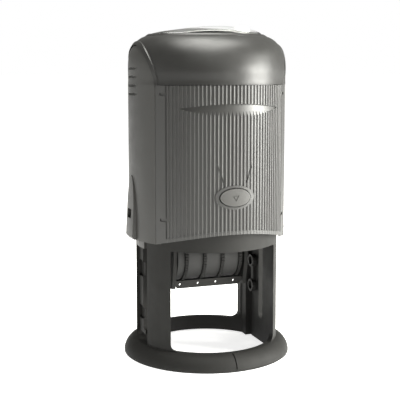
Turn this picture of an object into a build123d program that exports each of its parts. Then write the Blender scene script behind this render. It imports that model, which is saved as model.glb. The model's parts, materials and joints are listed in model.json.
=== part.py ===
from build123d import *
import os
from math import cos, radians, sin, sqrt

os.makedirs("parts", exist_ok=True)

# Round self-inking date stamp. Millimetres, +Z up, front towards -Y, origin at the
# centre of the base ring's underside. The stamp is drawn at rest: cap up, die face up
# against the ink pad.

# ---------------------------------------------------------------- driving dimensions
BASE_R = 31.0              # base ring, outer radius on the paper
BASE_TOP_R = 26.5          # base ring, outer radius at the top of its flare
BASE_H = 5.4               # base ring height
FRAME_R = 26.35            # frame tube, outer radius
FRAME_IN_R = 24.4          # frame tube and ring hole, inner radius
FRAME_TOP_Z = 68.2         # top of the frame deck
CAP_R = 28.9               # cap, outer radius
CAP_WALL = 1.8             # cap wall thickness
CAP_GAP = 0.3              # seam between the pieces of the cap
CAP_IN_R = CAP_R - CAP_WALL
DOME_Z = 99.9              # seam between covers and dome
DOME_TOP_Z = 117.4         # top of the dome, inside its raised lip
PANEL_Z = 44.0             # lower edge of the side panels
AXLE_Z = 44.0              # trunnions that the die block flips on
FACE_H = 12.5              # die face above the trunnions
STROKE = AXLE_Z - FACE_H   # cap travel that brings the flipped face down to z = 0
DIE_R = 20.0               # round text die
WHEEL_Z = 36.5             # axle of the date wheels
WHEEL_R = 9.9              # thumbwheel rims
BAND_R = 9.2               # outside of the date bands on their wheels

# ---------------------------------------------------------------- frame
WINDOW_HALF_X = 19.85      # openings between the legs
WINDOW_TOP_Z = 41.6        # lower edge of the bridge band
TRACK_X = 22.4             # inner face of the leg tracks
RECESS_X = 24.3            # floor of the outer leg recesses
RECESS_HALF_Y = 6.9
TRACK_HALF_Y = 8.4
SLOT_HALF_Y = 1.9
SLOT_BOTTOM_Z = 9.0
SLOT_TOP_Z = 60.0
CARTRIDGE_Z = (56.6, 66.0)  # front opening for the ink cartridge
CARTRIDGE_W = 44.8
DECK_Z = CARTRIDGE_Z[1]
POST_R = 3.2
POST_TOP_Z = 77.0
GROOVE_Y = (-6.7, -1.0)    # deeper groove in each recess
GROOVE_DEPTH = 0.9
LATCH_Y = 4.4              # latch pockets: centre and width, then height and centre of each
LATCH_W = 5.0
LATCHES = ((6.2, 31.7), (5.0, 15.0))
CAM_X = 20.5               # inner faces of the cam bosses, clear of the die
CAM_Y = 5.9
CAM_Z = (30.9, 21.1)
CAM_R = 2.4
CAM_RIB_X = CAM_X + 0.8    # face of the rib between them
WALL_OVERLAP = 0.4         # how far added solids run into a wall
PILLAR_X = 20.3            # inner face of the corner pillars
PILLAR_Y = (9.7, 16.0)
MARK_DEPTH = 0.35          # alignment mark on the flare
PASS = 80.0                # longer than the object, for cuts that go right through

with BuildPart() as base_frame:
    # base ring with its convex flare
    with BuildSketch(Plane.XZ):
        with BuildLine():
            Polyline((FRAME_IN_R, 0), (BASE_R, 0), (BASE_R, 0.8))
            ThreePointArc((BASE_R, 0.8), (29.4, 3.85), (BASE_TOP_R, BASE_H))
            Polyline((BASE_TOP_R, BASE_H), (FRAME_IN_R, BASE_H), (FRAME_IN_R, 0))
        make_face()
    revolve(axis=Axis.Z)
    # tube that becomes legs, bridge band and cartridge housing
    with BuildSketch(Plane.XY):
        Circle(FRAME_R)
        Circle(FRAME_IN_R, mode=Mode.SUBTRACT)
    extrude(amount=FRAME_TOP_Z)
    # flat track walls behind the outer recesses
    with BuildSketch(Plane.XY):
        for side in (-1, 1):
            with Locations((side * (TRACK_X + RECESS_X) / 2, 0)):
                Rectangle(RECESS_X - TRACK_X, 2 * TRACK_HALF_Y)
    extrude(amount=FRAME_TOP_Z)
    # pillars that thicken the legs' corners
    with BuildSketch(Plane.XY):
        for side in (-1, 1):
            for end in (-1, 1):
                with Locations((side * (PILLAR_X + 2), end * sum(PILLAR_Y) / 2)):
                    Rectangle(4, PILLAR_Y[1] - PILLAR_Y[0])
        Circle(FRAME_R, mode=Mode.INTERSECT)
    extrude(amount=WINDOW_TOP_Z)
    # deck over the cartridge, with the post that guides the return spring
    with BuildSketch(Plane.XY.offset(DECK_Z)):
        Circle(FRAME_R)
    extrude(amount=FRAME_TOP_Z - DECK_Z)
    with BuildSketch(Plane.XY.offset(FRAME_TOP_Z)):
        Circle(POST_R)
    extrude(amount=POST_TOP_Z - FRAME_TOP_Z)
    chamfer(faces().sort_by(Axis.Z)[-1].edges(), 0.8)
    # openings between the legs, front and rear
    with BuildSketch(Plane.XZ) as window:
        with Locations((0, (BASE_H + WINDOW_TOP_Z) / 2)):
            Rectangle(2 * WINDOW_HALF_X, WINDOW_TOP_Z - BASE_H)
        fillet(window.vertices().group_by(Axis.Y)[0], 2.6)
        fillet(window.vertices().group_by(Axis.Y)[-1], 0.8)
    extrude(amount=PASS, both=True, mode=Mode.SUBTRACT)
    # opening that the ink cartridge slides in by
    with BuildSketch(Plane.XZ):
        with Locations((0, sum(CARTRIDGE_Z) / 2)):
            Rectangle(CARTRIDGE_W, CARTRIDGE_Z[1] - CARTRIDGE_Z[0])
    extrude(amount=PASS, mode=Mode.SUBTRACT)
    # outer recesses that the cap arms slide in
    with BuildSketch(Plane.XY.offset(BASE_H)):
        for side in (-1, 1):
            with Locations((side * (RECESS_X + 5), 0)):
                Rectangle(10, 2 * RECESS_HALF_Y)
    extrude(amount=PASS, mode=Mode.SUBTRACT)
    # trunnion slots with a round lower end
    with BuildSketch(Plane.YZ):
        with Locations((0, (SLOT_BOTTOM_Z + SLOT_TOP_Z) / 2)):
            SlotOverall(SLOT_TOP_Z - SLOT_BOTTOM_Z, 2 * SLOT_HALF_Y, rotation=90)
    extrude(amount=PASS, both=True, mode=Mode.SUBTRACT)
    # deeper groove along the front of each recess
    for side in (-1, 1):
        with BuildSketch(Plane.YZ.offset(side * (RECESS_X - GROOVE_DEPTH))):
            with Locations((sum(GROOVE_Y) / 2, (BASE_H + SLOT_TOP_Z) / 2)):
                Rectangle(GROOVE_Y[1] - GROOVE_Y[0], SLOT_TOP_Z - BASE_H)
        extrude(amount=side * 2, mode=Mode.SUBTRACT)
    # latch pockets of the left leg, sunk from outside
    with BuildSketch(Plane.YZ.offset(-RECESS_X + GROOVE_DEPTH)):
        for latch_h, latch_z in LATCHES:
            with Locations((LATCH_Y, latch_z)):
                RectangleRounded(LATCH_W, latch_h, 0.6)
    extrude(amount=-2, mode=Mode.SUBTRACT)
    # round cam bosses and the rib between them, on the inner wall
    for side in (-1, 1):
        with BuildSketch(Plane.YZ.offset(side * CAM_X)):
            with Locations(*[(CAM_Y, z) for z in CAM_Z]):
                Circle(CAM_R)
        extrude(amount=side * (TRACK_X + WALL_OVERLAP - CAM_X))
        with BuildSketch(Plane.YZ.offset(side * CAM_RIB_X)):
            with Locations((CAM_Y, sum(CAM_Z) / 2)):
                Rectangle(2.2, CAM_Z[0] - CAM_Z[1])
        extrude(amount=side * (TRACK_X + WALL_OVERLAP - CAM_RIB_X))
        with BuildSketch(Plane.YZ.offset(side * (CAM_X - 0.5))):
            with Locations(*[(CAM_Y, z) for z in CAM_Z]):
                Circle(CAM_R - 0.8)
        extrude(amount=side * 1.5, mode=Mode.SUBTRACT)
    # drain notch at the left leg's foot
    with BuildSketch(Plane.YZ.offset(-TRACK_X + 2)):
        with Locations((3.2, BASE_H + 1.1)):
            Rectangle(8.4, 2.2)
    extrude(amount=-6, mode=Mode.SUBTRACT)
    # alignment mark down the front of the flare
    with BuildSketch(Plane.YZ):
        with BuildLine():
            Polyline((-BASE_TOP_R, BASE_H - MARK_DEPTH), (-BASE_TOP_R, BASE_H + 1), (-BASE_R - 1, BASE_H + 1))
            Polyline((-BASE_R - 1, BASE_H + 1), (-BASE_R - 1, 0.8), (-BASE_R + MARK_DEPTH, 0.8))
            ThreePointArc(
                (-BASE_R + MARK_DEPTH, 0.8),
                (-29.4 + MARK_DEPTH, 3.85 - MARK_DEPTH),
                (-BASE_TOP_R, BASE_H - MARK_DEPTH),
            )
        make_face()
    extrude(amount=0.22, both=True, mode=Mode.SUBTRACT)
base_frame.part.label = "base_frame"
export_step(base_frame.part, "parts/base_frame.step")

# ---------------------------------------------------------------- ink cartridge and pad
PAD_GAP = 0.2
PAD_Z = AXLE_Z + FACE_H + PAD_GAP
PAD_H = 4.5
PAD_R = 20.9
TRAY_R = 24.1
TRAY_HALF_X = 22.1
TRAY_Z = (PAD_Z + 0.2, CARTRIDGE_Z[1] - 0.2)

with BuildPart() as ink_cartridge:
    with BuildSketch(Plane.XY.offset(TRAY_Z[0])):
        Circle(TRAY_R)
        Rectangle(2 * TRAY_HALF_X, 2 * TRAY_R, mode=Mode.INTERSECT)
    extrude(amount=TRAY_Z[1] - TRAY_Z[0])
    # pad cavity, open downwards
    with BuildSketch(Plane.XY.offset(TRAY_Z[0])):
        Circle(PAD_R + 0.1)
    extrude(amount=PAD_Z + PAD_H - TRAY_Z[0], mode=Mode.SUBTRACT)
    # finger grip in the front face
    with BuildSketch(Plane.XZ.offset(TRAY_R - 1.2)):
        with Locations((0, 63.6)):
            RectangleRounded(14, 2.4, 1.0)
    extrude(amount=3, mode=Mode.SUBTRACT)
ink_cartridge.part.label = "ink_cartridge"
export_step(ink_cartridge.part, "parts/ink_cartridge.step")

with BuildPart() as ink_pad:
    with BuildSketch(Plane.XY.offset(PAD_Z)):
        Circle(PAD_R)
    extrude(amount=PAD_H)
ink_pad.part.label = "ink_pad"
export_step(ink_pad.part, "parts/ink_pad.step")

# ---------------------------------------------------------------- return spring
BRIDGE_Z = 110.0           # underside of the cap bridge, where the spring pushes
WIRE_R = 0.6
SPRING_R = 6.0
SPRING_TURNS = 7
SPRING_LENGTH = BRIDGE_Z - FRAME_TOP_Z - 2 * (WIRE_R + 0.1)

with BuildPart() as return_spring:
    with BuildLine(Plane.XY.offset(FRAME_TOP_Z + WIRE_R + 0.1)):
        Helix(SPRING_LENGTH / SPRING_TURNS, SPRING_LENGTH, SPRING_R)
    with BuildSketch(Plane(origin=(SPRING_R, 0, FRAME_TOP_Z + WIRE_R + 0.1), z_dir=(0, 1, 0))):
        Circle(WIRE_R)
    sweep(is_frenet=True)
return_spring.part.label = "return_spring"
export_step(return_spring.part, "parts/return_spring.step")

# ---------------------------------------------------------------- cap envelope
CAP_LOW_Z = 40.0           # below every piece of the cap
SHOULDER_R = 12.9          # how far the dome's shoulder comes in, front and rear
CORNER_R = 8.0             # how far it comes in at the sides
CORNER_H = 9.4             # height of the side corners
DOME_ANGLES = (0, 14, 28, 41, 53, 63, 72, 79, 85, 90)
DOME_H = DOME_TOP_Z - DOME_Z


def dome_half_x(z):
    """Half width of the dome at height z, over the rounded side corners."""
    climb = max(0.0, z - (DOME_TOP_Z - CORNER_H)) / CORNER_H
    return CAP_R - CORNER_R * (1 - sqrt(max(0.0, 1 - climb * climb)))


def cap_envelope(inset):
    """The cap's outer form moved inwards by inset: a round column under a dome."""
    with BuildPart() as envelope:
        with BuildSketch(Plane.XY.offset(CAP_LOW_Z)):
            Circle(CAP_R - inset)
        extrude(amount=DOME_Z - CAP_LOW_Z)
        for angle in DOME_ANGLES:
            rise = sin(radians(angle))
            half_x = dome_half_x(DOME_Z + DOME_H * rise) - inset
            half_y = CAP_R - SHOULDER_R * (1 - cos(radians(angle))) - inset
            with BuildSketch(Plane.XY.offset(DOME_Z + (DOME_H - inset) * rise)):
                Ellipse(half_x, half_y)
        loft()
    return envelope.part


PANEL_HALF_Y = 15.0        # side panels: straight up, then a round top
PANEL_ARCH_Z = 97.6
PANEL_ARCH_H = 16.1


def side_prism(margin):
    """Prism along X with the round-topped outline of a side panel, grown by margin."""
    with BuildPart() as prism:
        with BuildSketch(Plane.YZ):
            with Locations((0, (PANEL_ARCH_Z + CAP_LOW_Z) / 2)):
                Rectangle(2 * (PANEL_HALF_Y + margin), PANEL_ARCH_Z - CAP_LOW_Z)
            with Locations((0, PANEL_ARCH_Z)):
                Ellipse(PANEL_ARCH_H + margin, PANEL_HALF_Y + margin, rotation=90)
        extrude(amount=PASS, both=True)
    return prism.part


outer_form = cap_envelope(0)
inner_form = cap_envelope(CAP_WALL)
bead_form = cap_envelope(-0.35)
panel_prism = side_prism(0)
opening_prism = side_prism(CAP_GAP)
bead_prism = side_prism(CAP_GAP + 1.3)

# ---------------------------------------------------------------- side panels with arms
ARM_HALF_Y = 4.5
ARM_X = 24.6               # inner face of the arms, clear of the recess floor
ARM_Z = (40.6, 60.0)
BULGE_HALF_Y = 4.2         # arched bulge over each arm
BULGE_ARCH_Z = 52.0
BULGE_TOP_Z = 67.0
BULGE_OUT = (1.5, 0.3)     # how far it stands out at its foot and at its top
TRUNNION_R = 1.5
TRUNNION_BORE_R = 1.58
GRIP_Z = (96.5, 99.5, 102.6, 105.6)  # finger grooves
SNAP_Z = 53.2              # snap window in the bulge

with BuildPart() as bulge_cone:
    with BuildSketch(Plane.XZ):
        Polygon(
            (CAP_IN_R - 0.5, PANEL_Z),
            (CAP_R + BULGE_OUT[0] - 0.8, PANEL_Z),
            (CAP_R + BULGE_OUT[0], PANEL_Z + 1.0),
            (CAP_R + BULGE_OUT[1], BULGE_TOP_Z),
            (CAP_IN_R - 0.5, BULGE_TOP_Z),
            align=None,
        )
    revolve(axis=Axis.Z)

for side, hand in ((-1, "left"), (1, "right")):
    with BuildPart() as bulge:
        with BuildSketch(Plane.YZ):
            with Locations((0, (PANEL_Z + BULGE_ARCH_Z) / 2)):
                Rectangle(2 * BULGE_HALF_Y, BULGE_ARCH_Z - PANEL_Z)
            with Locations((0, BULGE_ARCH_Z)):
                Ellipse(BULGE_TOP_Z - BULGE_ARCH_Z, BULGE_HALF_Y, rotation=90)
        extrude(amount=side * 35)
        add(bulge_cone.part, mode=Mode.INTERSECT)
    with BuildPart() as arm:
        with BuildSketch(Plane.XY.offset(ARM_Z[0])):
            with Locations((side * (ARM_X + 2), 0)):
                Rectangle(4, 2 * ARM_HALF_Y)
            Circle(FRAME_R - 0.2, mode=Mode.INTERSECT)
        extrude(amount=ARM_Z[1] - ARM_Z[0])
        with BuildSketch(Plane.XY.offset(PANEL_Z)):
            with Locations((side * (ARM_X + 2), 0)):
                Rectangle(4, 2 * ARM_HALF_Y)
            Circle(CAP_R - 0.4, mode=Mode.INTERSECT)
        extrude(amount=ARM_Z[1] - PANEL_Z)
        with BuildSketch(Plane.YZ.offset(side * (ARM_X - 1))):
            with Locations((0, AXLE_Z)):
                Circle(TRUNNION_BORE_R)
        extrude(amount=side * 3.2, mode=Mode.SUBTRACT)
    with BuildPart() as side_panel:
        add(outer_form)
        add(inner_form, mode=Mode.SUBTRACT)
        add(panel_prism, mode=Mode.INTERSECT)
        with BuildSketch(Plane.XY.offset(CAP_LOW_Z)):
            with Locations((-side * CAP_R, 0)):
                Rectangle(2 * CAP_R, 2 * PASS)
        extrude(amount=PASS, mode=Mode.SUBTRACT)
        with BuildSketch(Plane.XY.offset(CAP_LOW_Z)):
            Rectangle(PASS, PASS)
        extrude(amount=PANEL_Z - CAP_LOW_Z, mode=Mode.SUBTRACT)
        add(bulge.part)
        add(arm.part)
        with BuildSketch(Plane.YZ.offset(side * ARM_X)):
            with Locations((0, AXLE_Z)):
                Circle(TRUNNION_BORE_R)
        extrude(amount=side * 2.2, mode=Mode.SUBTRACT)
        # snap window in the bulge
        with BuildSketch(Plane.YZ.offset(side * (CAP_R - 1.3))):
            with Locations((0, SNAP_Z)):
                Rectangle(4.4, 3.4)
        extrude(amount=side * 5, mode=Mode.SUBTRACT)
        # finger grooves
        with BuildSketch(Plane.XZ):
            for groove_z in GRIP_Z:
                with Locations((side * (CAP_R + 0.1), groove_z)):
                    Rectangle(1.2, 0.9, rotation=side * 25)
        extrude(amount=6.2, both=True, mode=Mode.SUBTRACT)
    side_panel.part.label = f"side_panel_{hand}"
    export_step(side_panel.part, f"parts/side_panel_{hand}.step")

# ---------------------------------------------------------------- cap bridge
BRIDGE_H = 2.0
BRIDGE_W = 24.0
TAB_DROP = 8.0             # snap tabs behind the side panels
CUP_R = 9.4                # cup round the top of the spring
CUP_H = 6.0

bridge_form = cap_envelope(CAP_WALL + 0.05)
with BuildPart() as cap_bridge:
    with BuildSketch(Plane.XY.offset(BRIDGE_Z)):
        Rectangle(PASS, BRIDGE_W)
    extrude(amount=BRIDGE_H)
    # tabs that snap behind the side panels
    with BuildSketch(Plane.XY.offset(BRIDGE_Z - TAB_DROP)):
        for side in (-1, 1):
            with Locations((side * 27, 0)):
                Rectangle(6, 16)
    extrude(amount=TAB_DROP + BRIDGE_H)
    add(bridge_form, mode=Mode.INTERSECT)
    # cup round the top of the spring
    with BuildSketch(Plane.XY.offset(BRIDGE_Z - CUP_H)):
        Circle(CUP_R)
        Circle(CUP_R - 1.6, mode=Mode.SUBTRACT)
    extrude(amount=CUP_H)
cap_bridge.part.label = "cap_bridge"
export_step(cap_bridge.part, "parts/cap_bridge.step")

# ---------------------------------------------------------------- top cover
ARCH_TOP_Z = 120.4         # crown of the clear index window
ARCH_R = 86.0              # its curve from left to right
WINDOW_X = 21.0            # half axes of its oval plan
WINDOW_Y = 14.6
WINDOW_T = 1.2
CARD_T = 0.25
ARCH_CENTRE_Z = ARCH_TOP_Z - ARCH_R
SEAT_R = ARCH_R - WINDOW_T - CARD_T - 0.15
SEAT_Y = 11.0              # the card and its seat stay back from the window's edge
LIP = ((22.9, 17.5), (21.9, 16.5))  # half axes of the sloped lip round the window
LIP_Z = (DOME_TOP_Z - 0.2, DOME_TOP_Z + 0.5)

SEAT_Z = DOME_TOP_Z - CAP_WALL - 1.0

with BuildPart() as dome_shell:
    add(outer_form)
    # lip round the window
    for (half_x, half_y), lip_z in zip(LIP, LIP_Z):
        with BuildSketch(Plane.XY.offset(lip_z)):
            Ellipse(half_x, half_y)
    loft()
    add(inner_form, mode=Mode.SUBTRACT)
    with BuildSketch(Plane.XY.offset(CAP_LOW_Z)):
        Rectangle(PASS, PASS)
    extrude(amount=DOME_Z - CAP_LOW_Z, mode=Mode.SUBTRACT)
    add(opening_prism, mode=Mode.SUBTRACT)
with BuildPart() as window_pocket:
    with BuildSketch(Plane.XY.offset(SEAT_Z)):
        Ellipse(WINDOW_X + CAP_GAP, WINDOW_Y + CAP_GAP)
    extrude(amount=10)
    with BuildSketch(Plane.XZ):
        with Locations((0, ARCH_CENTRE_Z)):
            Circle(SEAT_R)
    extrude(amount=PASS, both=True, mode=Mode.SUBTRACT)
with BuildPart() as card_seat:
    with BuildSketch(Plane.XY.offset(SEAT_Z)):
        Ellipse(WINDOW_X + 1.2, WINDOW_Y + 1.2)
    extrude(amount=1.5)
    with BuildSketch(Plane.XY.offset(SEAT_Z)):
        Ellipse(WINDOW_X - 0.5, SEAT_Y)
    extrude(amount=10)
    with BuildSketch(Plane.XZ):
        with Locations((0, ARCH_CENTRE_Z)):
            Circle(SEAT_R)
    extrude(amount=PASS, both=True, mode=Mode.INTERSECT)
with BuildPart() as edge_bead:
    # raised bead round each side panel
    add(bead_form)
    add(inner_form, mode=Mode.SUBTRACT)
    add(bead_prism, mode=Mode.INTERSECT)
    add(opening_prism, mode=Mode.SUBTRACT)
    with BuildSketch(Plane.XY.offset(CAP_LOW_Z)):
        Rectangle(PASS, PASS)
    extrude(amount=DOME_Z - CAP_LOW_Z, mode=Mode.SUBTRACT)
    with BuildSketch(Plane.XY.offset(DOME_Z)):
        Rectangle(40, PASS)
    extrude(amount=PASS, mode=Mode.SUBTRACT)
with BuildPart() as top_cover:
    add(dome_shell.part)
    add(edge_bead.part)
    add(window_pocket.part, mode=Mode.SUBTRACT)
    # arched seat for the index card, with a thicker ring under its edge
    add(card_seat.part)
top_cover.part.label = "top_cover"
export_step(top_cover.part, "parts/top_cover.step")

# ---------------------------------------------------------------- index card and window
with BuildPart() as index_card:
    with BuildSketch(Plane.XZ):
        with Locations((0, ARCH_CENTRE_Z)):
            Circle(SEAT_R + 0.05 + CARD_T)
            Circle(SEAT_R + 0.05, mode=Mode.SUBTRACT)
    extrude(amount=WINDOW_Y, both=True)
    with BuildSketch(Plane.XY.offset(SEAT_Z)):
        Ellipse(WINDOW_X - 1.0, SEAT_Y - 0.4)
    extrude(amount=10, mode=Mode.INTERSECT)
index_card.part.label = "index_card"
export_step(index_card.part, "parts/index_card.step")

with BuildPart() as index_window:
    with BuildSketch(Plane.XZ):
        with Locations((0, ARCH_CENTRE_Z)):
            Circle(ARCH_R)
            Circle(ARCH_R - WINDOW_T, mode=Mode.SUBTRACT)
    extrude(amount=WINDOW_Y + 1, both=True)
    with BuildSketch(Plane.XY.offset(SEAT_Z)):
        Ellipse(WINDOW_X, WINDOW_Y)
    extrude(amount=10, mode=Mode.INTERSECT)
index_window.part.label = "index_window"
export_step(index_window.part, "parts/index_window.step")

# ---------------------------------------------------------------- ribbed covers
RIB_COUNT = 36
RIB_PITCH = 2.75           # degrees
RIB_R = 0.44
RIB_ROOT_R = 28.52
RIB_CENTRE_R = 28.42
SMOOTH_R = 28.78           # plain strips and rims beside the ribs
STRIP_X = 21.95            # inner edge of the plain side strips
COVER_TOP_Z = DOME_Z - 0.15
COVER_Y = PANEL_HALF_Y + CAP_GAP / 2
HEM_R = 74.0               # the covers' lower edges are arched
HEM_Z = 48.3
HEM_H = 1.3


def ribbed_wall():
    """Front wall with half-round ribs."""
    span = RIB_PITCH * (RIB_COUNT - 1)
    with BuildPart() as wall:
        with BuildSketch(Plane.XY.offset(CAP_LOW_Z)):
            Circle(RIB_ROOT_R)
            with PolarLocations(RIB_CENTRE_R, RIB_COUNT, -90 - span / 2, span, endpoint=True):
                Circle(RIB_R)
            Circle(CAP_IN_R, mode=Mode.SUBTRACT)
            with Locations((0, -COVER_Y - 10)):
                Rectangle(2 * STRIP_X, 20, mode=Mode.INTERSECT)
        extrude(amount=COVER_TOP_Z - CAP_LOW_Z)
    return wall.part


def plain_wall():
    """Front wall without ribs: the side strips and the hem are cut from it."""
    with BuildPart() as wall:
        with BuildSketch(Plane.XY.offset(CAP_LOW_Z)):
            Circle(SMOOTH_R)
            Circle(CAP_IN_R, mode=Mode.SUBTRACT)
            with Locations((0, -COVER_Y - 10)):
                Rectangle(60, 20, mode=Mode.INTERSECT)
        extrude(amount=COVER_TOP_Z - CAP_LOW_Z)
    return wall.part


ribbed = ribbed_wall()
plain = plain_wall()
with BuildPart() as hem:
    add(plain)
    with BuildSketch(Plane.XZ):
        with Locations((0, HEM_Z - HEM_R)):
            Circle(HEM_R + HEM_H)
    extrude(amount=PASS, both=True, mode=Mode.INTERSECT)
with BuildPart() as strips:
    add(plain)
    with BuildSketch(Plane.XY.offset(CAP_LOW_Z)):
        Rectangle(2 * STRIP_X, PASS)
    extrude(amount=PASS, mode=Mode.SUBTRACT)

BUTTON_Z = 61.3
BUTTON = (5.55, 3.1)       # half axes of the oval lock button
BEZEL = (7.2, 4.2)
BEZEL_R = 29.0
CRESCENT_Z = (88.9, 91.9, 93.5)  # lowest point, tips and crown
CRESCENT_HALF_X = 18.5
CRESCENT_R = (28.95, 28.0)  # its floor slopes inwards from the lower edge to the upper

with BuildPart() as crescent:
    with BuildSketch(Plane.XZ):
        with BuildLine():
            for arc_z in (CRESCENT_Z[0], CRESCENT_Z[2]):
                ThreePointArc(
                    (-CRESCENT_HALF_X, CRESCENT_Z[1]),
                    (0, arc_z),
                    (CRESCENT_HALF_X, CRESCENT_Z[1]),
                )
        make_face()
    extrude(amount=40)
    with BuildSketch(Plane.XY.offset(CRESCENT_Z[0])):
        Circle(CRESCENT_R[0])
    with BuildSketch(Plane.XY.offset(CRESCENT_Z[2])):
        Circle(CRESCENT_R[1])
    loft(mode=Mode.SUBTRACT)
with BuildPart() as bezel:
    with BuildSketch(Plane.XY.offset(BUTTON_Z - 8)):
        Circle(BEZEL_R)
        Circle(CAP_IN_R, mode=Mode.SUBTRACT)
    extrude(amount=16)
    with BuildSketch(Plane.XZ):
        with Locations((0, BUTTON_Z)):
            Ellipse(*BEZEL)
    extrude(amount=40, mode=Mode.INTERSECT)

CLIP_ANGLE = 51.5          # clip marks, degrees from the front
CLIP_Z = (52.9, 96.7)

with BuildPart() as cover_shell:
    add(ribbed)
    add(strips.part)
    add(hem.part)
    with BuildSketch(Plane.XZ):
        with Locations((0, HEM_Z - HEM_R)):
            Circle(HEM_R)
    extrude(amount=PASS, both=True, mode=Mode.SUBTRACT)
    for clip_z in CLIP_Z:
        with BuildSketch(Plane.XY.offset(clip_z - 0.5)):
            with PolarLocations(SMOOTH_R, 2, -90 - CLIP_ANGLE, 2 * CLIP_ANGLE, endpoint=True):
                Rectangle(0.7, 3.0)
        extrude(amount=1.0, mode=Mode.SUBTRACT)

with BuildPart() as front_cover:
    add(cover_shell.part)
    add(crescent.part, mode=Mode.SUBTRACT)
    add(bezel.part)
    # shallow grooves that lead the eye down to the button
    with BuildSketch(Plane.XZ.offset(RIB_ROOT_R - 0.7)):
        for side in (-1, 1):
            with Locations((side * 5.6, 70.2)):
                Rectangle(0.5, 8.4, rotation=-side * 20)
    extrude(amount=5, mode=Mode.SUBTRACT)
    with BuildSketch(Plane.XZ):
        with Locations((0, BUTTON_Z)):
            Ellipse(BUTTON[0] + CAP_GAP, BUTTON[1] + CAP_GAP)
    extrude(amount=40, mode=Mode.SUBTRACT)
front_cover.part.label = "front_cover"
export_step(front_cover.part, "parts/front_cover.step")

with BuildPart() as rear_cover:
    add(cover_shell.part, rotation=(0, 0, 180))
rear_cover.part.label = "rear_cover"
export_step(rear_cover.part, "parts/rear_cover.step")

# ---------------------------------------------------------------- lock button
BUTTON_FACE_R = 29.35
FLANGE_R = (FRAME_R + 0.3, CAP_IN_R - 0.05)
SPRING_TOP_Z = 82.0        # leaf spring of the button

with BuildPart() as button_flange:
    with BuildSketch(Plane.XY.offset(BUTTON_Z - 5)):
        Circle(FLANGE_R[1])
        Circle(FLANGE_R[0], mode=Mode.SUBTRACT)
    extrude(amount=10)
    with BuildSketch(Plane.XZ):
        with Locations((0, BUTTON_Z)):
            Ellipse(BUTTON[0] + 0.9, BUTTON[1] + 0.9)
    extrude(amount=40, mode=Mode.INTERSECT)

with BuildPart() as lock_button:
    with BuildSketch(Plane.XY.offset(BUTTON_Z - 5)):
        Circle(BUTTON_FACE_R)
        Circle(FLANGE_R[0], mode=Mode.SUBTRACT)
    extrude(amount=10)
    with BuildSketch(Plane.XZ):
        with Locations((0, BUTTON_Z)):
            Ellipse(*BUTTON)
    extrude(amount=40, mode=Mode.INTERSECT)
    add(button_flange.part)
    # sunk arrowhead
    with BuildSketch(Plane.XZ.offset(BUTTON_FACE_R - 0.2)):
        with Locations((0, BUTTON_Z)):
            RegularPolygon(1.4, 3, rotation=-90)
            RegularPolygon(0.9, 3, rotation=-90, mode=Mode.SUBTRACT)
    extrude(amount=2, mode=Mode.SUBTRACT)
lock_button.part.label = "lock_button"
export_step(lock_button.part, "parts/lock_button.step")

with BuildPart() as button_spring:
    # leaf on the inside of the front cover, its tip on the button's flange
    with BuildSketch(Plane.XY.offset(BUTTON_Z + BUTTON[1] + 1.0)):
        Circle(FLANGE_R[1])
        Circle(FLANGE_R[1] - 0.4, mode=Mode.SUBTRACT)
        with Locations((0, -25)):
            Rectangle(5.0, 10, mode=Mode.INTERSECT)
    extrude(amount=SPRING_TOP_Z - BUTTON_Z - BUTTON[1] - 1.0)
button_spring.part.label = "button_spring"
export_step(button_spring.part, "parts/button_spring.step")

# ---------------------------------------------------------------- die block
FACE_Z = AXLE_Z + FACE_H
RUBBER_T = 2.3
DIE_PLATE_T = 1.8
PLATFORM_T = 1.8
DIE_Z = FACE_Z - RUBBER_T
PLATE_Z = DIE_Z - DIE_PLATE_T
PLATFORM_Z = PLATE_Z - PLATFORM_T
DATE_X = (-14.2, 9.5)      # run of the four date bands across the block
DATE_MARGIN = 0.3
CHEEKS = ((-15.9, -14.5), (11.9, 13.3))
CHEEK_LOW_Z = 24.9
BOSS_R = 3.2
BOSS_X = 20.9
TRUNNION_END_X = 26.0
BOSS_DEPTH = 4.5           # how deep the trunnions sit in their bosses
WHEEL_AXLE_R = 1.25
WHEEL_AXLE_BORE_R = 1.33
date_centre_x = sum(DATE_X) / 2
date_width = DATE_X[1] - DATE_X[0] + 2 * DATE_MARGIN

with BuildPart() as block_carrier:
    with BuildSketch(Plane.XY.offset(PLATFORM_Z)):
        Circle(DIE_R)
        with Locations((date_centre_x, 0)):
            Rectangle(date_width, 9.4, mode=Mode.SUBTRACT)
    extrude(amount=PLATFORM_T)
    for inner, outer in CHEEKS:
        # cheek: wide over the wheels, narrowing to the guard
        with BuildSketch(Plane.YZ.offset(inner)):
            Polygon(
                (-9.5, PLATFORM_Z),
                (-8.6, WHEEL_Z - 3),
                (-6.6, CHEEK_LOW_Z + 0.3),
                (2.4, CHEEK_LOW_Z),
                (8.6, WHEEL_Z - 3),
                (9.5, PLATFORM_Z),
                align=None,
            )
        extrude(amount=outer - inner)
    # trunnion bosses
    for start, end in ((CHEEKS[0][0], -BOSS_X), (CHEEKS[1][1], BOSS_X)):
        with BuildSketch(Plane.YZ.offset(start)):
            with Locations((0, AXLE_Z)):
                Circle(BOSS_R)
        extrude(amount=end - start)
    for side in (-1, 1):
        with BuildSketch(Plane.YZ.offset(side * (BOSS_X - BOSS_DEPTH))):
            with Locations((0, AXLE_Z)):
                Circle(TRUNNION_R)
        extrude(amount=side * (BOSS_DEPTH + 1.5), mode=Mode.SUBTRACT)
    with BuildSketch(Plane.YZ):
        with Locations((0, WHEEL_Z)):
            Circle(WHEEL_AXLE_R)
    extrude(amount=PASS, both=True, mode=Mode.SUBTRACT)
block_carrier.part.label = "block_carrier"
export_step(block_carrier.part, "parts/block_carrier.step")

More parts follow.
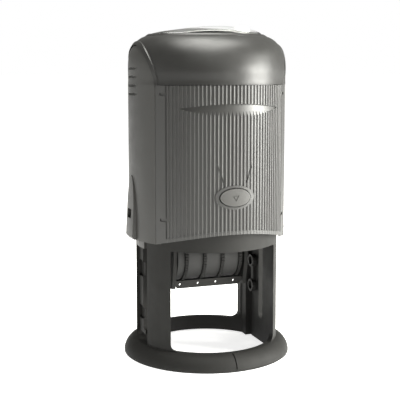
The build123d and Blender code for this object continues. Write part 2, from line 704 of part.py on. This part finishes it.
with BuildPart() as die_plate:
    with BuildSketch(Plane.XY.offset(PLATE_Z)):
        Circle(DIE_R)
        with Locations((date_centre_x, 0)):
            Rectangle(date_width, 8.0, mode=Mode.SUBTRACT)
    extrude(amount=DIE_PLATE_T)
die_plate.part.label = "die_plate"
export_step(die_plate.part, "parts/die_plate.step")

RELIEF = 0.9               # height of the raised print over the rubber sheet

with BuildPart() as text_die:
    with BuildSketch(Plane.XY.offset(DIE_Z)):
        Circle(DIE_R)
        with Locations((date_centre_x, 0)):
            Rectangle(date_width, 6.6, mode=Mode.SUBTRACT)
    extrude(amount=RUBBER_T - RELIEF)
    with BuildSketch(Plane.XY.offset(FACE_Z - RELIEF)):
        Circle(DIE_R - 0.3)
        Circle(DIE_R - 0.9, mode=Mode.SUBTRACT)
        with PolarLocations(16.6, 40):
            Rectangle(2.4, 1.0)
        Circle(12.4)
        Circle(12.0, mode=Mode.SUBTRACT)
        with Locations((date_centre_x, 0)):
            Rectangle(date_width + 1.6, 8.2, mode=Mode.SUBTRACT)
    extrude(amount=RELIEF)
text_die.part.label = "text_die"
export_step(text_die.part, "parts/text_die.step")

# the rail that holds the bands up to the print face
RAIL_TIP_R = 1.35
BAND_T = 1.0
BAND_TIP_R = RAIL_TIP_R + 0.05 + BAND_T
RAIL_Z = FACE_Z - BAND_TIP_R
RAIL_LOW_Z = WHEEL_Z + WHEEL_R + 0.6

with BuildPart() as band_rail:
    # rounded rail inside the date window
    with BuildSketch(Plane.YZ.offset(DATE_X[0] - DATE_MARGIN + 0.1)):
        with Locations((0, RAIL_Z)):
            Circle(RAIL_TIP_R)
        with Locations((0, (RAIL_Z + RAIL_LOW_Z) / 2)):
            Rectangle(2 * RAIL_TIP_R, RAIL_Z - RAIL_LOW_Z)
    extrude(amount=date_width - 0.2)
    # bar below the platform, from cheek to cheek
    with BuildSketch(Plane.YZ.offset(CHEEKS[0][1])):
        with Locations((0, (PLATFORM_Z - 0.1 + RAIL_LOW_Z) / 2)):
            Rectangle(2 * RAIL_TIP_R, PLATFORM_Z - 0.1 - RAIL_LOW_Z)
    extrude(amount=CHEEKS[1][0] - CHEEKS[0][1])
band_rail.part.label = "band_rail"
export_step(band_rail.part, "parts/band_rail.step")

with BuildPart() as wheel_axle:
    with BuildSketch(Plane.YZ.offset(CHEEKS[0][0] - 0.6)):
        with Locations((0, WHEEL_Z)):
            Circle(WHEEL_AXLE_R)
    extrude(amount=CHEEKS[1][1] - CHEEKS[0][0] + 1.2)
    chamfer(wheel_axle.edges().filter_by(GeomType.CIRCLE), 0.3)
wheel_axle.part.label = "wheel_axle"
export_step(wheel_axle.part, "parts/wheel_axle.step")

for side, hand in ((-1, "left"), (1, "right")):
    with BuildPart() as trunnion:
        with BuildSketch(Plane.YZ.offset(side * (BOSS_X - BOSS_DEPTH))):
            with Locations((0, AXLE_Z)):
                Circle(TRUNNION_R)
        extrude(amount=side * (TRUNNION_END_X - BOSS_X + BOSS_DEPTH))
        chamfer(trunnion.edges().filter_by(GeomType.CIRCLE), 0.3)
    trunnion.part.label = f"trunnion_{hand}"
    export_step(trunnion.part, f"parts/trunnion_{hand}.step")
    # flat cam disc beside the leg track
    with BuildPart() as flip_cam:
        with BuildSketch(Plane.YZ.offset(side * (BOSS_X + 0.05))):
            with Locations((0, AXLE_Z)):
                Circle(3.0)
            with Locations((3.0, AXLE_Z), (-3.0, AXLE_Z)):
                Circle(0.8, mode=Mode.SUBTRACT)
            with Locations((0, AXLE_Z)):
                Circle(TRUNNION_R, mode=Mode.SUBTRACT)
        extrude(amount=side * 1.0)
    flip_cam.part.label = f"flip_cam_{hand}"
    export_step(flip_cam.part, f"parts/flip_cam_{hand}.step")

TROUGH_R = WHEEL_R + 0.3
GUARD_Y = (-6.4, -5.4)     # front lip of the guard
GUARD_Z = (25.2, 28.0)
GUARD_X = (CHEEKS[0][1], CHEEKS[1][0])
GUARD_HOLE_X = (-12.6, -5.6, 1.4, 8.4)

with BuildPart() as band_guard:
    # front lip with its row of small holes
    with BuildSketch(Plane.XZ.offset(-GUARD_Y[1])):
        with BuildLine():
            Polyline(
                (GUARD_X[0], GUARD_Z[1]),
                (GUARD_X[0], GUARD_Z[0] + 1.2),
                (GUARD_X[0] + 0.8, GUARD_Z[0]),
                (GUARD_X[1] - 1.6, GUARD_Z[0]),
                (GUARD_X[1], GUARD_Z[0] + 1.4),
                (GUARD_X[1], GUARD_Z[1]),
                close=True,
            )
        make_face()
        with Locations(*[(x, GUARD_Z[0] + 1.45) for x in GUARD_HOLE_X]):
            Circle(0.45, mode=Mode.SUBTRACT)
    extrude(amount=GUARD_Y[1] - GUARD_Y[0])
    # trough that follows the rims round the back
    with BuildSketch(Plane.YZ.offset(GUARD_X[0])):
        with Locations((0, WHEEL_Z)):
            Circle(TROUGH_R + 0.7)
            Circle(TROUGH_R, mode=Mode.SUBTRACT)
        with Locations((4.7, WHEEL_Z - 10.0)):
            Rectangle(10.0, 9.0, mode=Mode.INTERSECT)
    extrude(amount=GUARD_X[1] - GUARD_X[0])
    # ribs from the lip to the trough, between the holes
    with BuildSketch(Plane.XY.offset(GUARD_Z[0] + 0.4)):
        for start, end in zip(GUARD_HOLE_X, GUARD_HOLE_X[1:]):
            with Locations(((start + end) / 2, GUARD_Y[1] / 2)):
                Rectangle(0.8, -GUARD_Y[1] + 0.4)
    extrude(amount=0.7)
band_guard.part.label = "band_guard"
export_step(band_guard.part, "parts/band_guard.step")

# ---------------------------------------------------------------- date wheels and bands
FLANGE_X = (-11.0, -4.0, 3.0, 10.0)  # rims of the four wheels
RIM_T = 1.2
HUB_R = 8.1
TEETH = 60
band_starts = (DATE_X[0],) + tuple(x + RIM_T / 2 + 0.2 for x in FLANGE_X[:-1])

for number, (rim_x, start) in enumerate(zip(FLANGE_X, band_starts), 1):
    with BuildPart() as date_wheel:
        with BuildSketch(Plane.YZ.offset(start - 0.1)):
            with Locations((0, WHEEL_Z)):
                Circle(HUB_R)
        extrude(amount=rim_x - start + 0.1)
        with BuildSketch(Plane.YZ.offset(rim_x - RIM_T / 2)):
            with Locations((0, WHEEL_Z)):
                Circle(WHEEL_R)
                with PolarLocations(WHEEL_R + 0.05, TEETH):
                    Circle(0.36, mode=Mode.SUBTRACT)
        extrude(amount=RIM_T)
        with BuildSketch(Plane.YZ):
            with Locations((0, WHEEL_Z)):
                Circle(WHEEL_AXLE_BORE_R)
        extrude(amount=PASS, both=True, mode=Mode.SUBTRACT)
    date_wheel.part.label = f"date_wheel_{number}"
    export_step(date_wheel.part, f"parts/date_wheel_{number}.step")

    with BuildPart() as date_band:
        with BuildSketch(Plane.YZ.offset(start)):
            with Locations((0, WHEEL_Z)):
                Circle(BAND_R)
            with Locations((0, RAIL_Z)):
                Circle(BAND_TIP_R)
            make_hull()
            offset(amount=-BAND_T, mode=Mode.SUBTRACT)
        extrude(amount=rim_x - RIM_T / 2 - 0.1 - start)
    date_band.part.label = f"date_band_{number}"
    export_step(date_band.part, f"parts/date_band_{number}.step")
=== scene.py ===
import json
from math import cos, pi, radians, sin

import bmesh
import bpy
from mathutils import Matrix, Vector


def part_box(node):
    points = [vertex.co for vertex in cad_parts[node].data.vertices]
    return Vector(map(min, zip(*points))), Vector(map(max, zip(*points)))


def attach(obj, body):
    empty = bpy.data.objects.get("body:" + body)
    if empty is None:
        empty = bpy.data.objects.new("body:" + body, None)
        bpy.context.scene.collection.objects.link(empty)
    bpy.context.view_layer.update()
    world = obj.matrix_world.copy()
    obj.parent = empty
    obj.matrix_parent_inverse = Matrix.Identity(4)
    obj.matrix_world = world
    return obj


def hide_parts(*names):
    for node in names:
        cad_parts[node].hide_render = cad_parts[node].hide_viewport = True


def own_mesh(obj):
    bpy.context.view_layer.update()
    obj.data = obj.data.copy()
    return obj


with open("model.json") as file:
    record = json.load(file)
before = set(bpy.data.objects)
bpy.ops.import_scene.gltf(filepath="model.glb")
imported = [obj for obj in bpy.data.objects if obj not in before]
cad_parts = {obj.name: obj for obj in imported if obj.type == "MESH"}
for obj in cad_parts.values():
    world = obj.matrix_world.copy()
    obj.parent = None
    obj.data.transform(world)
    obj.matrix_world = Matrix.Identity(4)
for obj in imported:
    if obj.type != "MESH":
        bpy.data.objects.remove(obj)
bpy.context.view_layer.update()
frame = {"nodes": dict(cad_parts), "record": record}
NODES = frame["nodes"]
MM = 0.001

# Camera: degrees and metres
AZIMUTH = 20                    # towards the object's left
PITCH = 6.247                   # below level
DISTANCE = 0.34045
SIDE_STEP = -0.00238
EYE_HEIGHT = 0.10585
LENS = 82.6
SENSOR_WIDTH = 36
SHIFT_Y = -0.08

# Light
WARM_WHITE = (1.0, 0.995, 0.945)
SEEN_WHITE = 1.0                # background as the camera sees it
GLOW = 0.3                      # background as the object is lit by it
LIT_POINT = (0, 0, 0.07)        # middle of the cap
RIGHT_BOX = {"place": (0.36, -0.22, 0.17), "width": 0.2, "height": 0.28, "power": 6.0}
TOP_BOX = {"place": (0.02, -0.02, 0.55), "width": 0.36, "height": 0.3, "power": 4.0}
FLOOR_HALF = 12.0
FLOOR_DROP = 0.2 * MM           # below the base ring's face
FLOOR_GLOW = 0.75

# The greys lean slightly to olive
WARM_GREY = (1.0, 0.985, 0.93)
RIBBED = ("front_cover", "rear_cover")

# Noise lies mostly between these values
NOISE_LOW = 0.3
NOISE_HIGH = 0.7


# ---------------------------------------------------------------- camera
def make_camera():
    """Close and low, in front and a little to the left, level with the dome's lower part."""
    azimuth = radians(AZIMUTH)
    ahead = Vector((sin(azimuth), cos(azimuth), 0))
    right = Vector((cos(azimuth), -sin(azimuth), 0))
    data = bpy.data.cameras.new("camera")
    data.lens = LENS
    data.sensor_width = SENSOR_WIDTH
    data.shift_y = SHIFT_Y
    data.clip_start = 0.01
    camera = bpy.data.objects.new("camera", data)
    camera.location = ahead * -DISTANCE + right * SIDE_STEP + Vector((0, 0, EYE_HEIGHT))
    camera.rotation_euler = (radians(90 - PITCH), 0, -azimuth)
    bpy.context.scene.collection.objects.link(camera)
    bpy.context.scene.camera = camera


# ---------------------------------------------------------------- lights and floor
def soft_box(name, place, width, height, power):
    """Rectangular light that faces the middle of the cap."""
    data = bpy.data.lights.new(name, "AREA")
    data.shape = "RECTANGLE"
    data.size = width
    data.size_y = height
    data.energy = power
    data.color = WARM_WHITE
    light = bpy.data.objects.new(name, data)
    light.location = place
    towards = Vector(LIT_POINT) - Vector(place)
    light.rotation_euler = towards.to_track_quat("-Z", "Y").to_euler()
    bpy.context.scene.collection.objects.link(light)


def make_studio():
    """White background that lights the object gently, a tall soft box at the right, one overhead."""
    scene = bpy.context.scene
    scene.view_settings.view_transform = "Standard"
    world = bpy.data.worlds.new("studio")
    world.use_nodes = True
    tree = world.node_tree
    seen = tree.nodes["Background"]
    seen.inputs["Color"].default_value = (1, 1, 1, 1)
    seen.inputs["Strength"].default_value = SEEN_WHITE
    glow = tree.nodes.new("ShaderNodeBackground")
    glow.inputs["Color"].default_value = (*WARM_WHITE, 1)
    glow.inputs["Strength"].default_value = GLOW
    path = tree.nodes.new("ShaderNodeLightPath")
    mix = tree.nodes.new("ShaderNodeMixShader")
    tree.links.new(path.outputs["Is Camera Ray"], mix.inputs["Fac"])
    tree.links.new(glow.outputs["Background"], mix.inputs[1])
    tree.links.new(seen.outputs["Background"], mix.inputs[2])
    tree.links.new(mix.outputs["Shader"], tree.nodes["World Output"].inputs["Surface"])
    scene.world = world
    soft_box("right_box", **RIGHT_BOX)
    soft_box("top_box", **TOP_BOX)
    make_floor()


def make_floor():
    """Pale floor, wide enough to meet the white background at eye level."""
    build = bmesh.new()
    bmesh.ops.create_grid(build, x_segments=8, y_segments=8, size=FLOOR_HALF)
    ground = add_piece("floor", build, floor_material())
    ground.location.z = -FLOOR_DROP


# ---------------------------------------------------------------- material nodes
def new_material(name):
    material = bpy.data.materials.new(name)
    material.use_nodes = True
    tree = material.node_tree
    return material, tree, tree.nodes["Principled BSDF"]


def noise(tree, scale, detail, roughness, stretch=(1, 1, 1)):
    """Noise in the CAD frame's metres, so its scale is real; stretch draws it out along an axis."""
    place = tree.nodes.new("ShaderNodeTexCoord")
    mapping = tree.nodes.new("ShaderNodeMapping")
    mapping.inputs["Scale"].default_value = stretch
    texture = tree.nodes.new("ShaderNodeTexNoise")
    texture.inputs["Scale"].default_value = scale
    texture.inputs["Detail"].default_value = detail
    texture.inputs["Roughness"].default_value = roughness
    tree.links.new(place.outputs["Object"], mapping.inputs["Vector"])
    tree.links.new(mapping.outputs["Vector"], texture.inputs["Vector"])
    return texture.outputs["Fac"]


def spread(tree, value, low, high):
    """Noise stretched to low..high."""
    node = tree.nodes.new("ShaderNodeMapRange")
    node.inputs["From Min"].default_value = NOISE_LOW
    node.inputs["From Max"].default_value = NOISE_HIGH
    node.inputs["To Min"].default_value = low
    node.inputs["To Max"].default_value = high
    tree.links.new(value, node.inputs["Value"])
    return node.outputs["Result"]


def two_tone(tree, value, dark, light):
    """Noise turned into a colour between dark and light."""
    ramp = tree.nodes.new("ShaderNodeValToRGB")
    ramp.color_ramp.elements[0].position = NOISE_LOW
    ramp.color_ramp.elements[0].color = (*dark, 1)
    ramp.color_ramp.elements[1].position = NOISE_HIGH
    ramp.color_ramp.elements[1].color = (*light, 1)
    tree.links.new(value, ramp.inputs["Fac"])
    return ramp.outputs["Color"]


def bump(tree, shader, height, strength, distance):
    node = tree.nodes.new("ShaderNodeBump")
    node.inputs["Strength"].default_value = strength
    node.inputs["Distance"].default_value = distance
    tree.links.new(height, node.inputs["Height"])
    tree.links.new(node.outputs["Normal"], shader.inputs["Normal"])


# ---------------------------------------------------------------- materials
def grey(value):
    return tuple(value * part for part in WARM_GREY)


def moulded(name, colour, rough, grain=1.0, variation=0.08, specular=0.5):
    """Moulded plastic: faint flow marks in the colour, an eroded fine grain, uneven gloss."""
    material, tree, shader = new_material(name)
    flow = noise(tree, scale=60, detail=5, roughness=0.6, stretch=(1, 1, 0.35))
    dark = [part * (1 - variation) for part in colour]
    light = [part * (1 + variation) for part in colour]
    tree.links.new(two_tone(tree, flow, dark, light), shader.inputs["Base Color"])
    handling = noise(tree, scale=180, detail=6, roughness=0.65)
    uneven = spread(tree, handling, rough - 0.05, rough + 0.07)
    tree.links.new(uneven, shader.inputs["Roughness"])
    erosion = noise(tree, scale=5200, detail=3, roughness=0.7)
    bump(tree, shader, erosion, strength=0.1 * grain, distance=0.05 * MM)
    shader.inputs["Specular IOR Level"].default_value = specular
    return material


def floor_material():
    """Matt paper white that nearly meets the background's brightness."""
    material, tree, shader = new_material("floor")
    tone = noise(tree, scale=3, detail=3, roughness=0.5)
    white = two_tone(tree, tone, (0.93, 0.93, 0.925), (0.95, 0.95, 0.945))
    tree.links.new(white, shader.inputs["Base Color"])
    shader.inputs["Roughness"].default_value = 0.85
    shader.inputs["Specular IOR Level"].default_value = 0.1
    shader.inputs["Emission Color"].default_value = (1, 1, 1, 1)
    shader.inputs["Emission Strength"].default_value = FLOOR_GLOW
    return material


def rubber_material(name, colour):
    """Dull rubber with dust in its grain."""
    material, tree, shader = new_material(name)
    dust = noise(tree, scale=400, detail=6, roughness=0.7)
    dusty = [part * 1.5 + 0.004 for part in colour]
    tree.links.new(two_tone(tree, dust, colour, dusty), shader.inputs["Base Color"])
    tree.links.new(spread(tree, dust, 0.58, 0.75), shader.inputs["Roughness"])
    grain = noise(tree, scale=2600, detail=4, roughness=0.7)
    bump(tree, shader, grain, strength=0.25, distance=0.08 * MM)
    return material


def steel_material(name, stretch):
    """Drawn steel: fine lines along the stretched axis."""
    material, tree, shader = new_material(name)
    drawn = noise(tree, scale=900, detail=4, roughness=0.6, stretch=stretch)
    metal = two_tone(tree, drawn, (0.42, 0.42, 0.42), (0.62, 0.62, 0.61))
    tree.links.new(metal, shader.inputs["Base Color"])
    shader.inputs["Metallic"].default_value = 1.0
    tree.links.new(spread(tree, drawn, 0.22, 0.38), shader.inputs["Roughness"])
    bump(tree, shader, drawn, strength=0.1, distance=0.03 * MM)
    return material


def felt_material():
    """Felt soaked unevenly in blue-black ink."""
    material, tree, shader = new_material("pad_felt")
    fibres = noise(tree, scale=2400, detail=8, roughness=0.8)
    soaked = noise(tree, scale=90, detail=4, roughness=0.6)
    ink = two_tone(tree, soaked, (0.010, 0.012, 0.035), (0.022, 0.026, 0.075))
    tree.links.new(ink, shader.inputs["Base Color"])
    tree.links.new(spread(tree, soaked, 0.55, 0.9), shader.inputs["Roughness"])
    bump(tree, shader, fibres, strength=0.8, distance=0.3 * MM)
    shader.inputs["Sheen Weight"].default_value = 0.25
    return material


def card_material():
    """White card with visible fibres."""
    material, tree, shader = new_material("card")
    fibres = noise(tree, scale=1500, detail=6, roughness=0.7)
    white = two_tone(tree, fibres, (0.80, 0.80, 0.78), (0.86, 0.86, 0.84))
    tree.links.new(white, shader.inputs["Base Color"])
    shader.inputs["Roughness"].default_value = 0.75
    bump(tree, shader, fibres, strength=0.3, distance=0.05 * MM)
    return material


def clear_material():
    """Clear acrylic with faint smudges."""
    material, tree, shader = new_material("clear_plastic")
    shader.inputs["Base Color"].default_value = (0.93, 0.94, 0.93, 1)
    shader.inputs["Transmission Weight"].default_value = 1.0
    shader.inputs["IOR"].default_value = 1.49
    smudge = noise(tree, scale=120, detail=5, roughness=0.6)
    tree.links.new(spread(tree, smudge, 0.04, 0.13), shader.inputs["Roughness"])
    return material


def dress_cad():
    """Gives each CAD node its slot's finish, and the ribbed shells a finish of their own."""
    finishes = {
        "frame_plastic": moulded("frame_plastic", grey(0.018), 0.62, specular=0.18),
        "cap_plastic": moulded("cap_plastic", grey(0.045), 0.42, specular=0.4),
        "cover_plastic": moulded("cover_plastic", grey(0.022), 0.41, grain=0.4, variation=0.04),
        "button_plastic": moulded("button_plastic", grey(0.055), 0.42),
        "cartridge_plastic": moulded("cartridge_plastic", grey(0.014), 0.5),
        "wheel_plastic": moulded("wheel_plastic", grey(0.010), 0.5, specular=0.22),
        "die_rubber": rubber_material("die_rubber", grey(0.010)),
        "pin_steel": steel_material("pin_steel", (0.1, 1, 1)),
        "spring_steel": steel_material("spring_steel", (1, 1, 1)),
        "card": card_material(),
        "clear_plastic": clear_material(),
        "pad_felt": felt_material(),
    }
    ribbed = moulded("ribbed_plastic", grey(0.030), 0.40, grain=0.6, specular=0.65)
    for part in frame["record"]["subparts"]:
        node = part["node"]
        finish = ribbed if node in RIBBED else finishes[part["material_slot"]]
        mesh = NODES[node].data
        mesh.materials.clear()
        mesh.materials.append(finish)
    return finishes


# ---------------------------------------------------------------- pieces
def add_piece(name, build, material):
    mesh = bpy.data.meshes.new(name)
    build.to_mesh(mesh)
    build.free()
    mesh.materials.append(material)
    for face in mesh.polygons:
        face.use_smooth = True
    piece = bpy.data.objects.new(name, mesh)
    bpy.context.scene.collection.objects.link(piece)
    return piece


def skin(build, rings):
    """Faces between each ring of points and the next."""
    for first, second in zip(rings, rings[1:]):
        for k in range(len(first)):
            build.faces.new((first[k - 1], first[k], second[k], second[k - 1]))


def make_spring(finishes):
    """Coil spring with closed ends."""
    low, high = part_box("return_spring")
    wire = 0.6 * MM                         # the wire's radius
    coil = (high.x - low.x) / 2 - wire
    turns = 8.5
    closed = 1.0                            # dead turn at each end
    lead = 2.05 * wire                      # rise of a dead turn
    bottom = low.z + wire
    rise = high.z - low.z - 2 * wire
    steps, sides = 360, 10
    build = bmesh.new()
    rings = []
    for step in range(steps + 1):
        turn = turns * step / steps
        if turn < closed:
            z = lead * turn
        elif turn > turns - closed:
            z = rise - lead * (turns - turn)
        else:
            z = lead + (rise - 2 * lead) * (turn - closed) / (turns - 2 * closed)
        angle = 2 * pi * turn
        out = Vector((cos(angle), sin(angle), 0))
        centre = out * coil + Vector((0, 0, bottom + z))
        ring = []
        for k in range(sides):
            around = 2 * pi * k / sides
            offset = out * wire * cos(around) + Vector((0, 0, wire * sin(around)))
            ring.append(build.verts.new(centre + offset))
        rings.append(ring)
    skin(build, rings)
    build.faces.new(rings[0])
    build.faces.new(reversed(rings[-1]))
    bmesh.ops.recalc_face_normals(build, faces=build.faces)
    spring = add_piece("coil_spring", build, finishes["spring_steel"])
    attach(spring, "frame")
    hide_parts("return_spring")
    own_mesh(spring)


def make_pad(finishes):
    """Felt pad: a crowned disc with a soft rolled rim, uneven where the die has pressed it."""
    low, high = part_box("ink_pad")
    radius = (high.x - low.x) / 2
    thick = high.z - low.z
    roll = thick * 0.32                     # width of the rolled rim
    face = low.z + 0.25 * MM                # mean level of the printing face
    crown = 0.12 * MM
    wave = 0.05 * MM
    waves = 9
    rim_in = 0.15 * MM                      # the rim stays this far inside the pad's thickness
    back = high.z - 0.1 * MM
    middle = face - crown
    rows, rim_steps, sides = 26, 8, 96
    profile = []
    for row in range(rows):
        r = (radius - roll) * (row + 1) / rows
        sag = crown * cos(pi * r / radius) + wave * sin(waves * pi * r / radius)
        profile.append((r, face - sag))
    for step in range(1, rim_steps):
        angle = pi * step / rim_steps
        r = radius - roll + roll * sin(angle)
        profile.append((r, low.z + thick / 2 - (thick / 2 - rim_in) * cos(angle)))
    profile.append((radius - roll, back))

    build = bmesh.new()
    rings = []
    for r, z in profile:
        ring = []
        for k in range(sides):
            around = 2 * pi * k / sides
            ring.append(build.verts.new((r * cos(around), r * sin(around), z)))
        rings.append(ring)
    skin(build, rings)
    for loop, z in ((rings[0], middle), (rings[-1], back)):
        centre = build.verts.new((0, 0, z))
        for k in range(sides):
            build.faces.new((loop[k - 1], loop[k], centre))
    bmesh.ops.recalc_face_normals(build, faces=build.faces)
    pad = add_piece("felt_pad", build, finishes["pad_felt"])
    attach(pad, "frame")
    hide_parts("ink_pad")


make_camera()
finishes = dress_cad()
make_studio()
make_spring(finishes)
make_pad(finishes)
